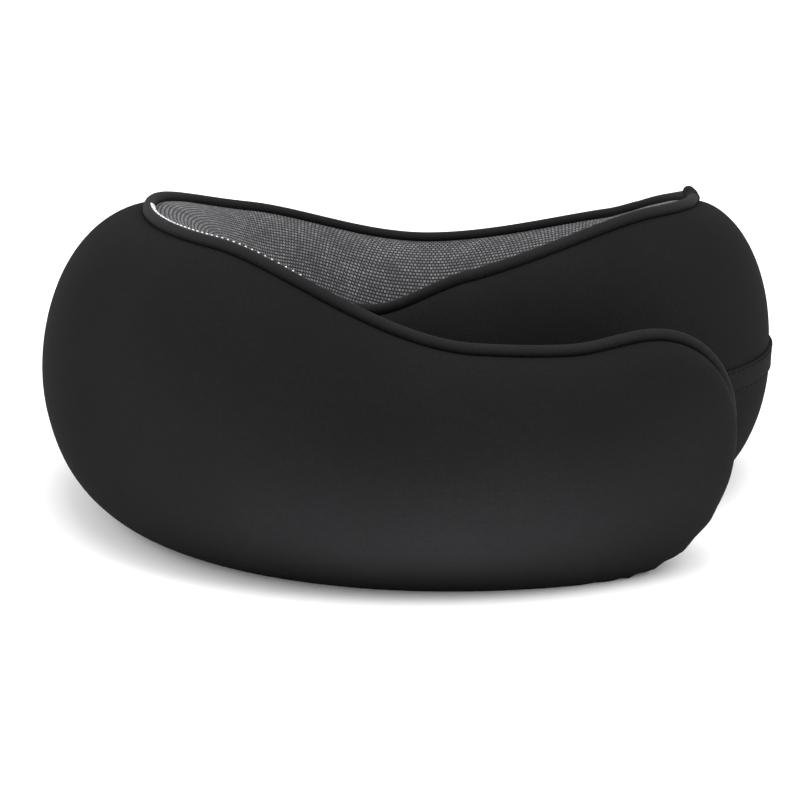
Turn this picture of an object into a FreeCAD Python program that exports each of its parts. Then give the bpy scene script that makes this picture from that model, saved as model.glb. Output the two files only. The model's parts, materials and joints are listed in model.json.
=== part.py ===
"""Wrap-over neck pillow: foam horseshoe, liner, knit cover, mesh inner face, piped rim.

Lengths are millimetres and angles degrees.  Z is up, +Y points to the back of the
neck, X to the right.  The origin is the middle of the footprint on the floor.
"""
import FreeCAD, Part
import math
import os

V = FreeCAD.Vector
UP = V(0, 0, 1)

# The crest of each half, seen from above, is a chain of tangent arcs that starts at
# the middle of the back: (turn, radius).  A straight tip closes each arm.
BACK_REACH = 100.0
RING_RADIUS = 101.0
LEFT_ARCS = ((135.0, RING_RADIUS), (45.0, 116.0), (20.6, 160.0))
RIGHT_ARCS = ((55.0, RING_RADIUS), (80.0, 71.0), (45.0, 93.0), (27.0, 70.0))
LEFT_TIP = 30.0
RIGHT_TIP = 20.0
TIP_BLUNTNESS = 2.1

# The under side rises towards each tip, from this far before the tip starts.
LEFT_UNDERCUT = 14.0
RIGHT_UNDERCUT = 16.0
UNDER_BLUNTNESS = 2.1

# Cross sections: turn, crest height, height of the widest level, outer half width,
# inner half width, height of the lower seam.
BACK = (0.0, 70.0, 36.0, 29.0, 26.0, 24.0)
LEFT_SECTIONS = (
    BACK,
    (45.0, 88.0, 36.0, 29.0, 29.0, 24.0),
    (90.0, 102.0, 47.0, 39.0, 36.0, 25.0),
    (135.0, 101.0, 36.0, 40.5, 28.0, 12.0),
    (180.0, 74.0, 37.0, 31.0, 19.0, 4.0),
    (191.0, 72.8, 39.0, 28.0, 19.5, 4.0),
    (200.6, 76.0, 44.0, 25.0, 20.0, 4.0),
)
RIGHT_SECTIONS = (
    BACK,
    (45.0, 84.3, 36.0, 29.0, 29.0, 24.0),
    (67.5, 95.5, 41.0, 29.2, 32.5, 24.5),
    (90.0, 101.0, 50.0, 29.5, 36.0, 25.0),
    (135.0, 104.0, 50.0, 30.0, 30.0, 14.0),
    (180.0, 87.0, 42.0, 19.0, 22.0, 9.0),
    (207.0, 76.0, 38.0, 15.0, 19.0, 9.0),
)
FLOOR_SINK = 4.0
FLOOR_TRIM = 0.5

# Number of stations along each stretch, and of steps round one side of a section.
BACK_STATIONS = 12
LEFT_STATIONS = 17
RIGHT_STATIONS = 15
JOIN_STATIONS = 5
POCKET_STATIONS = 9
SECTION_STEPS = 12
OUTLINE_STEPS = 240
TIP_ANGLES = (9, 20, 32, 44, 56, 67, 77)

# Room that trimming solids take past the pillow: sideways, below, and past the ends.
TRIM_SIDE = 14.0
TRIM_BELOW = 6.0
TRIM_END = 4.0
TRIM_TIP = 6.0
TRIM_TOP = 130.0
TRIM_SPAN = 600.0

# Layers, from the outside in.
PANEL = 1.0
LINER = 0.6
LAYER_GAP = 0.05
FOAM_DEPTH = PANEL + LINER + 2 * LAYER_GAP
SEAM_GAP = 0.1

# Bends: where each arm flexes from the back, and the slit left there.
FLEX_TURN = 80.0
FLEX_GAP = 0.4

# Piped rim.
PIPING_RADIUS = 2.0
CORD_RADIUS = 1.3
ROLL_SIDES = 12
PIPING_CLEAR = 0.4
PIPING_SEAT = PIPING_RADIUS - PANEL + PIPING_CLEAR

# Bunched wrap over the meeting ends of the piping.
JOIN_TURN = 91.0
JOIN_LENGTH = 9.0
JOIN_RADIUS = 3.0

# Side pocket on the right arm.
POCKET_START = 84.0
POCKET_END = 142.0
POCKET_TOP = 51.0
POCKET_RISE = 3.0
POCKET_HEM = 9.0
POCKET_THICKNESS = 1.1
HEM_THICKNESS = 1.6
POCKET_CLEAR = 0.1
POCKET_ROOT = 4.0
POCKET_FOOT = 1.0

# Zip round the lower edge of the back.
ZIP_HALF_SWEEP = 34.0
ZIP_LEVEL = 15.0
TAPE_WIDTH = 8.0
TAPE_THICKNESS = 0.7
TEETH_WIDTH = 1.5
TEETH_HEIGHT = 1.3
TEETH_PITCH = 2.6
TOOTH_SHARE = 0.45
UPPER_PHASE = 0.25
LOWER_PHASE = 0.75
SPINE_SHARE = 0.6
TAPE_CLEAR = 0.25
TAPE_TAIL = 1.5
STOP_LENGTH = 2.6
STOP_PROUD = 0.3
ZIP_SLIT = 0.3
ZIP_SEAT = 0.15
ZIP_CLEAR = 0.35
SLIDER_LENGTH = 9.0
SLIDER_WALL = 0.9
PULL_LENGTH = 24.0
PULL_WIDTH = 6.0
PULL_THICKNESS = 1.2
WIRE_RADIUS = 0.7
LUG_MARGIN = 0.3
SLIDER_TURN = 30.0


def arcs_length(arcs):
    """Length of a chain of tangent arcs."""
    return sum(math.radians(turn) * radius for turn, radius in arcs)


def blended(stations, column, turn):
    """Value of one column at a turn, smooth and without overshoot between stations."""
    x = [row[0] for row in stations]
    y = [row[column] for row in stations]
    turn = min(max(turn, x[0]), x[-1])
    last = len(x) - 1
    i = max(k for k in range(last) if x[k] <= turn)
    rise = [(y[k + 1] - y[k]) / (x[k + 1] - x[k]) for k in range(last)]
    slope = [0.0] * (last + 1)
    for k in range(1, last):
        if rise[k - 1] * rise[k] > 0:
            slope[k] = 2 * rise[k - 1] * rise[k] / (rise[k - 1] + rise[k])
    h = x[i + 1] - x[i]
    t = (turn - x[i]) / h
    low = (2 * t - 3) * t * t + 1
    return (low * y[i] + (1 - low) * y[i + 1]
            + t * (1 - t) ** 2 * h * slope[i] - t * t * (1 - t) * h * slope[i + 1])


class Half:
    """One half of the ring, from the middle of the back to the tip of an arm."""

    def __init__(self, sign, arcs, sections, tip, undercut):
        self.sign = sign
        self.arcs = arcs
        self.sections = sections
        self.tip = tip
        self.undercut = undercut
        self.length = arcs_length(arcs)
        self.end_turn = sum(turn for turn, _ in arcs)

    def normal(self, turn):
        """Level direction pointing out of the ring."""
        a = math.radians(turn)
        return V(self.sign * math.sin(a), math.cos(a), 0)

    def heading(self, turn):
        """Level direction of travel from the back to the tip."""
        a = math.radians(turn)
        return V(self.sign * math.cos(a), -math.sin(a), 0)

    def at(self, s):
        """Crest point (z = 0) and turn at a distance along the half."""
        centre = V(0, BACK_REACH - RING_RADIUS, 0)
        radius = RING_RADIUS
        turn = 0.0
        left = s
        for sweep, arc_radius in self.arcs:
            centre = centre + self.normal(turn) * (radius - arc_radius)
            radius = arc_radius
            step = min(left, math.radians(sweep) * radius)
            turn += math.degrees(step / radius)
            left -= step
            if left <= 0:
                return centre + self.normal(turn) * radius, turn
        return centre + self.normal(turn) * radius + self.heading(turn) * left, turn

    def distance(self, turn):
        """Distance along the half at which a turn is reached."""
        s = 0.0
        for sweep, radius in self.arcs:
            step = min(turn, sweep)
            s += math.radians(step) * radius
            turn -= step
        return s

    def fade(self, s, depth, early, bluntness):
        """Share of the full section left at a distance, one until a little before the tip."""
        t = (s - self.length + early) / (self.tip - depth + early)
        if t <= 0:
            return 1.0
        return max(0.0, 1 - t ** bluntness) ** (1 / bluntness)

    def profile(self, s, depth):
        """Crest, widest level, half widths, seam and bottom of a layer at a distance."""
        turn = self.at(s)[1]
        k = self.fade(s, depth, 0.0, TIP_BLUNTNESS)
        under = self.fade(s, depth, self.undercut, UNDER_BLUNTNESS)
        top, waist, outer, inner, seam = [blended(self.sections, c, turn) for c in range(1, 6)]
        lift = depth if depth > 0 else -FLOOR_TRIM
        return {
            "top": waist + (top - depth - waist) * k,
            "waist": waist,
            "outer": (outer - depth) * k,
            "inner": (inner - depth) * k,
            "seam": waist + (seam - waist) * under,
            "floor": waist + (lift - waist) * under,
            "drop": (waist + FLOOR_SINK - depth) * under,
        }

    def place(self, s, across, height):
        """Point at a distance along, across (outwards) and above the floor."""
        base, turn = self.at(s)
        return base + self.normal(turn) * across + UP * height

    def tip_stations(self, depth):
        """Distances that follow the rounding of the tip."""
        reach = self.tip - depth
        shares = [math.cos(math.radians(a)) for a in TIP_ANGLES]
        return [self.length + reach * (1 - k ** TIP_BLUNTNESS) ** (1 / TIP_BLUNTNESS)
                for k in shares]


LEFT = Half(-1, LEFT_ARCS, LEFT_SECTIONS, LEFT_TIP, LEFT_UNDERCUT)
RIGHT = Half(1, RIGHT_ARCS, RIGHT_SECTIONS, RIGHT_TIP, RIGHT_UNDERCUT)


def footprint_shift():
    """Move that brings the middle of the footprint to the origin."""
    xs = []
    ys = []
    for half in (LEFT, RIGHT):
        for step in range(OUTLINE_STEPS + 1):
            s = (half.length + half.tip) * step / OUTLINE_STEPS
            pocketed = half is RIGHT and POCKET_START <= half.at(s)[1] <= POCKET_END
            shape = half.profile(s, -POCKET_CLEAR - HEM_THICKNESS if pocketed else 0.0)
            point = half.place(s, shape["outer"], 0)
            xs.append(point.x)
            ys.append(point.y)
    return V(-(max(xs) + min(xs)) / 2, -(max(ys) + min(ys)) / 2, 0)


SHIFT = footprint_shift()


def spaced(start, end, count):
    """Evenly spaced distances, both ends included."""
    return [start + (end - start) * i / (count - 1) for i in range(count)]


def smooth_edge(points):
    """One edge through evenly weighted points."""
    curve = Part.BSplineCurve()
    last = len(points) - 1
    curve.interpolate(Points=points, Parameters=[i / last for i in range(last + 1)])
    return curve.toShape()


def section_wire(half, s, depth):
    """Closed outline of one layer: outer side, flat under side, inner side."""
    shape = half.profile(s, depth)
    down = math.asin(min(1.0, (shape["waist"] - shape["floor"]) / shape["drop"]))

    def side(width):
        points = []
        for i in range(SECTION_STEPS + 1):
            a = math.pi / 2 - (math.pi / 2 + down) * i / SECTION_STEPS
            rise = shape["top"] - shape["waist"] if a > 0 else shape["drop"]
            points.append(half.place(s, width * math.cos(a), shape["waist"] + rise * math.sin(a)))
        return points

    outer = side(shape["outer"])
    inner = side(-shape["inner"])
    inner.reverse()
    return Part.Wire([smooth_edge(outer), Part.makeLine(outer[-1], inner[0]), smooth_edge(inner)])


def loft(wires):
    """Smooth closed solid through a row of outlines."""
    return Part.makeLoft(wires, True, False)


def polygon_wire(half, s, corners):
    """Closed outline through (across, height) corners at a distance."""
    points = [half.place(s, across, height) for across, height in corners]
    return Part.makePolygon(points + points[:1])


class Stretch:
    """Part of the pillow that moves as one body, as a row of (half, distance)."""

    def __init__(self, name, row, tipped):
        self.name = name
        self.row = row
        self.tipped = tipped

    def layer(self, depth):
        """Solid filled out to a depth below the skin."""
        wires = [section_wire(half, s, depth) for half, s in self.row]
        if self.tipped:
            half = self.row[-1][0]
            wires += [section_wire(half, s, depth) for s in half.tip_stations(depth)]
        return loft(wires)

    def wider_row(self):
        """Stations of the row, run on a little past both ends."""
        first_half, first = self.row[0]
        last_half, last = self.row[-1]
        start = first - TRIM_END if self.tipped else first + TRIM_END
        beyond = [last + TRIM_END]
        if self.tipped:
            end = last_half.length + last_half.tip + TRIM_TIP
            beyond = spaced(last, end, SECTION_STEPS)[1:]
        return [(first_half, start)] + self.row + [(last_half, s) for s in beyond]

    def zone(self, corners_at):
        """Solid that holds one share of every section; ruled, for trimming panels."""
        wires = []
        for half, s in self.wider_row():
            wires.append(polygon_wire(half, s, corners_at(half.profile(s, 0.0))))
        return Part.makeLoft(wires, True, True)


def build_stretches():
    """Back, left arm and right arm."""
    left_flex = LEFT.distance(FLEX_TURN)
    right_flex = RIGHT.distance(FLEX_TURN)
    back_row = [(RIGHT, s) for s in spaced(right_flex, 0, BACK_STATIONS)]
    back_row += [(LEFT, s) for s in spaced(0, left_flex, BACK_STATIONS)[1:]]
    left_row = [(LEFT, s) for s in spaced(left_flex + FLEX_GAP, LEFT.length, LEFT_STATIONS)]
    right_row = [(RIGHT, s) for s in spaced(right_flex + FLEX_GAP, RIGHT.length, RIGHT_STATIONS)]
    return [Stretch("back", back_row, False), Stretch("left_arm", left_row, True),
            Stretch("right_arm", right_row, True)]


def outer_corners(shape):
    """Share of a section outside the crest and above the seam."""
    far = shape["outer"] + TRIM_SIDE
    low = shape["seam"] + SEAM_GAP / 2
    slot = PIPING_RADIUS + LAYER_GAP
    return [(slot, low), (far, low), (far, TRIM_TOP), (slot, TRIM_TOP)]


def inner_corners(shape):
    """Share of a section inside the crest and above the seam."""
    far = shape["inner"] + TRIM_SIDE
    low = shape["seam"] + SEAM_GAP / 2
    slot = PIPING_RADIUS + LAYER_GAP
    return [(-slot, low), (-far, low), (-far, TRIM_TOP), (-slot, TRIM_TOP)]


def base_corners(shape):
    """Share of a section below the seam."""
    high = shape["seam"] - SEAM_GAP / 2
    far = shape["outer"] + TRIM_SIDE
    near = -shape["inner"] - TRIM_SIDE
    return [(near, -TRIM_BELOW), (far, -TRIM_BELOW), (far, high), (near, high)]


def rim_stations(stretch):
    """Centre points of the piping over a stretch, each with its level side direction."""
    depth = -PIPING_SEAT
    row = list(stretch.row)
    half = row[-1][0]
    if stretch.tipped:
        row += [(half, s) for s in half.tip_stations(depth)]
    stations = []
    for h, s in row:
        side = h.normal(h.at(s)[1]) * h.sign
        stations.append((h.place(s, 0, h.profile(s, depth)["top"]), side))
    if stretch.tipped:
        end = half.length + half.tip - depth
        side = half.normal(half.end_turn) * half.sign
        stations.append((half.place(end, 0, half.profile(end, depth)["waist"]), side))
    return stations


def rolled(stations, radius):
    """Many-sided bar along the rim, with flats small enough to read as round."""
    curve = Part.BSplineCurve()
    curve.interpolate([point for point, _ in stations])
    wires = []
    for point, side in stations:
        tangent = curve.tangent(curve.parameter(point))[0]
        lift = tangent.cross(side).normalize()
        ring = []
        for i in range(ROLL_SIDES):
            a = 2 * math.pi * i / ROLL_SIDES
            ring.append(point + side * (radius * math.cos(a)) + lift * (radius * math.sin(a)))
        wires.append(Part.makePolygon(ring + ring[:1]))
    return Part.makeLoft(wires, True, True)


def cover_panels(stretch):
    """Knit outer panel, mesh inner panel and base panel of a stretch."""
    shell = stretch.layer(0.0).cut(stretch.layer(PANEL))
    corner = V(-TRIM_SPAN / 2, -TRIM_SPAN / 2, -TRIM_BELOW)
    floor = Part.makeBox(TRIM_SPAN, TRIM_SPAN, TRIM_BELOW, corner)
    return {
        "outer_panel_" + stretch.name: shell.common(stretch.zone(outer_corners)),
        "mesh_panel_" + stretch.name: shell.common(stretch.zone(inner_corners)),
        "base_panel_" + stretch.name: shell.common(stretch.zone(base_corners)).cut(floor),
    }


def filling(stretch):
    """Foam core and the thin liner round it."""
    foam = stretch.layer(FOAM_DEPTH)
    liner = stretch.layer(PANEL + LAYER_GAP).cut(stretch.layer(PANEL + LAYER_GAP + LINER))
    return {"foam_core_" + stretch.name: foam, "foam_liner_" + stretch.name: liner}


def rim(stretch):
    """Piping sleeve and the cord rolled inside it."""
    stations = rim_stations(stretch)
    sleeve = rolled(stations, PIPING_RADIUS).cut(rolled(stations, CORD_RADIUS + LAYER_GAP))
    return {"rim_piping_" + stretch.name: sleeve,
            "rim_cord_" + stretch.name: rolled(stations, CORD_RADIUS)}


def piping_join(stretch):
    """Bunched wrap of fabric over the place where the two piping ends meet."""
    half = RIGHT
    middle = half.distance(JOIN_TURN)
    reach = JOIN_LENGTH / 2
    row = [(half, s) for s in spaced(middle - reach, middle + reach, JOIN_STATIONS)]
    wrap = rolled(rim_stations(Stretch("join", row, False)), JOIN_RADIUS)
    sleeve = rolled(rim_stations(stretch), PIPING_RADIUS + 2 * LAYER_GAP)
    return {"piping_join": wrap.cut(sleeve).cut(stretch.layer(-LAYER_GAP))}


def pocket(stretch):
    """Flat stretch pocket on the outer face of the right arm, with a hem on its mouth."""
    start = RIGHT.distance(POCKET_START)
    row = [(RIGHT, s) for s in spaced(start, RIGHT.distance(POCKET_END), POCKET_STATIONS)]

    def band(low_share, high_share, thickness):
        wires = []
        for i, (half, s) in enumerate(row):
            shape = half.profile(s, 0.0)
            mouth = POCKET_TOP + POCKET_RISE * i / (len(row) - 1)
            low = low_share(shape, mouth)
            high = high_share(shape, mouth)
            far = shape["outer"] + TRIM_SIDE
            corners = [(POCKET_ROOT, low), (far, low), (far, high), (POCKET_ROOT, high)]
            wires.append(polygon_wire(half, s, corners))
        skin = stretch.layer(-POCKET_CLEAR - thickness).cut(stretch.layer(-POCKET_CLEAR))
        return skin.common(Part.makeLoft(wires, True, True))

    panel = band(lambda shape, mouth: shape["seam"] + POCKET_FOOT,
                 lambda shape, mouth: mouth - POCKET_HEM - SEAM_GAP, POCKET_THICKNESS)
    hem = band(lambda shape, mouth: mouth - POCKET_HEM,
               lambda shape, mouth: mouth, HEM_THICKNESS)
    return {"pocket_panel": panel, "pocket_hem": hem}


def zip_axis():
    """Centre of the arc the zip follows, on the floor."""
    return V(0, BACK_REACH - RING_RADIUS, 0)


def skin_at(level):
    """Radius, height and outward direction (radial, up) of the lower back skin."""
    shape = LEFT.profile(0.0, 0.0)
    a = math.asin((shape["waist"] - level) / shape["drop"])
    radius = RING_RADIUS + shape["outer"] * math.cos(a)
    lean = math.atan2(math.sin(a) / shape["drop"], math.cos(a) / shape["outer"])
    return radius, level, math.cos(lean), -math.sin(lean)


def zip_point(level, along, out, turn):
    """Point beside the skin at a level: along the profile (down) and out of the skin."""
    radius, height, nr, nz = skin_at(level)
    r = radius + nr * out + nz * along
    z = height + nz * out - nr * along
    a = math.radians(turn)
    return zip_axis() + V(r * math.sin(a), r * math.cos(a), z)


def zip_ring(level, corners, start, end):
    """Solid swept round the zip arc from (along, out) corners, between two turns."""
    points = [zip_point(level, along, out, start) for along, out in corners]
    face = Part.Face(Part.makePolygon(points + points[:1]))
    return face.revolve(zip_axis(), V(0, 0, -1), end - start)


def box_corners(along, width, low, high):
    """Corners of a rectangle centred at a place along the profile."""
    return [(along - width / 2, low), (along + width / 2, low),
            (along + width / 2, high), (along - width / 2, high)]


def zip_tapes():
    """Two woven tapes, above and below the teeth."""
    reach = ZIP_SLIT / 2 + TEETH_WIDTH + TAPE_CLEAR + TAPE_WIDTH / 2
    slope = skin_at(ZIP_LEVEL)[2]
    corners = box_corners(0, TAPE_WIDTH, ZIP_SEAT, ZIP_SEAT + TAPE_THICKNESS)
    sweep = ZIP_HALF_SWEEP + TAPE_TAIL
    return {"zip_tape_upper": zip_ring(ZIP_LEVEL + reach * slope, corners, -sweep, sweep),
            "zip_tape_lower": zip_ring(ZIP_LEVEL - reach * slope, corners, -sweep, sweep)}


def zip_teeth_row(side, phase):
    """One row of teeth: a low spine with blocks at a steady pitch."""
    middle = side * (ZIP_SLIT + TEETH_WIDTH) / 2
    spine = box_corners(middle + side * TEETH_WIDTH / 4, TEETH_WIDTH / 2, ZIP_SEAT,
                        ZIP_SEAT + TEETH_HEIGHT * SPINE_SHARE)
    block = box_corners(middle, TEETH_WIDTH, ZIP_SEAT, ZIP_SEAT + TEETH_HEIGHT)
    step = math.degrees(TEETH_PITCH / skin_at(ZIP_LEVEL)[0])
    count = int(2 * ZIP_HALF_SWEEP / step) - 1
    solids = []
    for i in range(count):
        start = -ZIP_HALF_SWEEP + (i + phase) * step
        solids.append(zip_ring(ZIP_LEVEL, block, start, start + step * TOOTH_SHARE))
    body = zip_ring(ZIP_LEVEL, spine, -ZIP_HALF_SWEEP, ZIP_HALF_SWEEP)
    return body.fuse(solids)


def zip_stop(turn):
    """Metal clip across both rows at one end."""
    half = math.degrees(STOP_LENGTH / 2 / skin_at(ZIP_LEVEL)[0])
    width = ZIP_SLIT + 2 * (TEETH_WIDTH - LAYER_GAP)
    corners = box_corners(0, width, ZIP_SEAT, ZIP_SEAT + TEETH_HEIGHT + STOP_PROUD)
    return zip_ring(ZIP_LEVEL, corners, turn - half, turn + half)


def zip_slider():
    """Channel that rides over both rows, with the wire loop that holds the pull."""
    top = ZIP_SEAT + TEETH_HEIGHT + ZIP_CLEAR
    wall = ZIP_SLIT / 2 + TEETH_WIDTH + ZIP_CLEAR
    foot = ZIP_SEAT + TAPE_THICKNESS + ZIP_CLEAR
    outer = wall + SLIDER_WALL
    wide = PULL_WIDTH / 2 + ZIP_CLEAR + 2 * WIRE_RADIUS + LUG_MARGIN
    half = math.degrees(SLIDER_LENGTH / 2 / skin_at(ZIP_LEVEL)[0])
    start = SLIDER_TURN - half
    end = SLIDER_TURN + half
    corners = [(-wall, foot), (-wall, top), (wall, top), (wall, foot), (outer, foot), (outer, top),
               (wide, top), (wide, top + SLIDER_WALL), (-wide, top + SLIDER_WALL), (-wide, top),
               (-outer, top), (-outer, foot)]
    channel = zip_ring(ZIP_LEVEL, corners, start, end)
    bar = pull_height()
    post = wide - LUG_MARGIN - WIRE_RADIUS
    out = zip_out()
    across = zip_down()
    base = zip_point(ZIP_LEVEL, 0, top + SLIDER_WALL / 2, SLIDER_TURN)
    rise = bar - top - SLIDER_WALL / 2
    loop = Part.makeCylinder(WIRE_RADIUS, 2 * post, base + out * rise - across * post, across)
    for side in (-1, 1):
        foot_point = base + across * (side * post)
        loop = loop.fuse(Part.makeCylinder(WIRE_RADIUS, rise, foot_point, out))
        loop = loop.fuse(Part.makeSphere(WIRE_RADIUS, foot_point + out * rise))
    return channel.fuse(loop)


def pull_height():
    """Height of the pull's hinge line over the skin."""
    eye = WIRE_RADIUS + ZIP_CLEAR + PULL_THICKNESS / 2
    return ZIP_SEAT + TEETH_HEIGHT + 2 * ZIP_CLEAR + SLIDER_WALL + eye


def zip_out():
    """Direction out of the skin where the slider rests."""
    return zip_point(ZIP_LEVEL, 0, 1, SLIDER_TURN) - zip_point(ZIP_LEVEL, 0, 0, SLIDER_TURN)


def zip_down():
    """Direction down the profile where the slider rests."""
    return zip_point(ZIP_LEVEL, 1, 0, SLIDER_TURN) - zip_point(ZIP_LEVEL, 0, 0, SLIDER_TURN)


def zip_pull():
    """Flat tab with a round eye that turns on the slider's wire loop."""
    out = zip_out()
    across = zip_down()
    run = out.cross(across)
    if run.x > 0:
        run = run * -1
    hinge = zip_point(ZIP_LEVEL, 0, pull_height(), SLIDER_TURN)
    hole = WIRE_RADIUS + ZIP_CLEAR
    eye_radius = hole + PULL_THICKNESS / 2
    side = across * (PULL_WIDTH / 2)
    eye = Part.makeCylinder(eye_radius, PULL_WIDTH, hinge - side, across)
    half = out * (PULL_THICKNESS / 2)
    corners = [hinge - side - half, hinge + side - half, hinge + side + half, hinge - side + half]
    plate = Part.Face(Part.makePolygon(corners + corners[:1])).extrude(run * PULL_LENGTH)
    end = Part.makeCylinder(PULL_WIDTH / 2, PULL_THICKNESS, hinge + run * PULL_LENGTH - half, out)
    bore = Part.makeCylinder(hole, 2 * PULL_WIDTH, hinge - side * 2, across)
    return eye.fuse([plate, end]).cut(bore)


def zip_pieces():
    """Every piece of the zip."""
    pieces = zip_tapes()
    clear = math.degrees((STOP_LENGTH / 2 + LAYER_GAP) / skin_at(ZIP_LEVEL)[0])
    pieces["zip_teeth_upper"] = zip_teeth_row(-1, UPPER_PHASE)
    pieces["zip_teeth_lower"] = zip_teeth_row(1, LOWER_PHASE)
    pieces["zip_stop_left"] = zip_stop(-ZIP_HALF_SWEEP - clear)
    pieces["zip_stop_right"] = zip_stop(ZIP_HALF_SWEEP + clear)
    pieces["zip_slider"] = zip_slider()
    pieces["zip_pull"] = zip_pull()
    return pieces


def main():
    """Build every piece and write one file each."""
    os.makedirs("parts", exist_ok=True)
    pieces = {}
    stretches = build_stretches()
    for stretch in stretches:
        pieces.update(filling(stretch))
        pieces.update(cover_panels(stretch))
        pieces.update(rim(stretch))
    pieces.update(pocket(stretches[2]))
    pieces.update(piping_join(stretches[2]))
    pieces.update(zip_pieces())
    for name, shape in pieces.items():
        shape.translate(SHIFT)
        shape.exportStep("parts/" + name + ".step")


main()
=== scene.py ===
"""Wrap-over foam neck pillow in a knit cover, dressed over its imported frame."""

import json
import logging
import math
from dataclasses import dataclass, field
from enum import Enum
from typing import Callable, Iterable, Sequence

import bmesh
import bpy
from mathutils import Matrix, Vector, noise
from mathutils.kdtree import KDTree


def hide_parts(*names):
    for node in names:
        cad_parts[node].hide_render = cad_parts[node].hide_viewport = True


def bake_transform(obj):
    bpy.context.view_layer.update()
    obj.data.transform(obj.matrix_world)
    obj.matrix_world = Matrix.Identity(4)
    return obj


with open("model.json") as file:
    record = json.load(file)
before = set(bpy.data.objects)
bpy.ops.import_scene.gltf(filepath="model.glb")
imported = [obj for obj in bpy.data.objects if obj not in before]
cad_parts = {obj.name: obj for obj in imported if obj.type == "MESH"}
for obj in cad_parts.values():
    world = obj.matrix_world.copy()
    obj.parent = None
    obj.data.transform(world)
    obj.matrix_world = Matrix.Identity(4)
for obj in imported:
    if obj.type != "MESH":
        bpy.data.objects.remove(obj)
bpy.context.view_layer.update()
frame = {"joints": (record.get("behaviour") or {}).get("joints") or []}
LOG = logging.getLogger("neck_pillow")
MM = 0.001
UV_NAME = "cloth"


class Side(Enum):
    """Which face of the ring a panel lies on."""

    OUTER = 1
    INNER = -1


# ---------------------------------------------------------------------------
# Colour and node helpers
# ---------------------------------------------------------------------------


def linear(hex_code: str) -> tuple[float, float, float, float]:
    """Turn an sRGB hex code into a linear colour.

    Args:
        hex_code: six hex digits, with or without a leading hash.

    Returns:
        Red, green, blue and an alpha of one.
    """
    digits = hex_code.lstrip("#")
    channels = []
    for i in (0, 2, 4):
        value = int(digits[i:i + 2], 16) / 255
        channels.append(value / 12.92 if value <= 0.04045 else ((value + 0.055) / 1.055) ** 2.4)
    return channels[0], channels[1], channels[2], 1.0


def add_node(tree: bpy.types.NodeTree, kind: str, links: dict | None = None, **settings) -> bpy.types.Node:
    """Add a shader node, set it and link its inputs.

    Args:
        tree: the node tree of a material.
        kind: the node's class name.
        links: input name or number to an output socket or a plain value.
        settings: attributes of the node itself.

    Returns:
        The new node.
    """
    node = tree.nodes.new(kind)
    for name, value in settings.items():
        setattr(node, name, value)
    for name, value in (links or {}).items():
        socket = node.inputs[name]
        if isinstance(value, bpy.types.NodeSocket):
            tree.links.new(value, socket)
        else:
            socket.default_value = value
    return node


def ramp(tree: bpy.types.NodeTree, source: bpy.types.NodeSocket,
         stops: Sequence[tuple[float, str]]) -> bpy.types.NodeSocket:
    """Colour ramp over a value.

    Args:
        tree: the node tree of a material.
        source: the value that picks the colour.
        stops: positions and hex codes, in order.

    Returns:
        The ramp's colour socket.
    """
    node = add_node(tree, "ShaderNodeValToRGB", {"Fac": source})
    elements = node.color_ramp.elements
    while len(elements) < len(stops):
        elements.new(0.5)
    for element, (position, code) in zip(elements, stops):
        element.position = position
        element.color = linear(code)
    return node.outputs["Color"]


# ---------------------------------------------------------------------------
# Finishes
# ---------------------------------------------------------------------------


@dataclass(frozen=True)
class Finish:
    """What a piece is made of, as a material that is built once."""

    name: str

    def material(self) -> bpy.types.Material:
        """Build the material once and return it afterwards."""
        material = bpy.data.materials.get(self.name)
        if not material:
            material = bpy.data.materials.new(self.name)
            material.use_nodes = True
            tree = material.node_tree
            self.dress(tree, tree.nodes["Principled BSDF"])
        return material

    def dress(self, tree: bpy.types.NodeTree, shader: bpy.types.Node) -> None:
        """Add the finish's own nodes and values."""
        raise NotImplementedError


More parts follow.
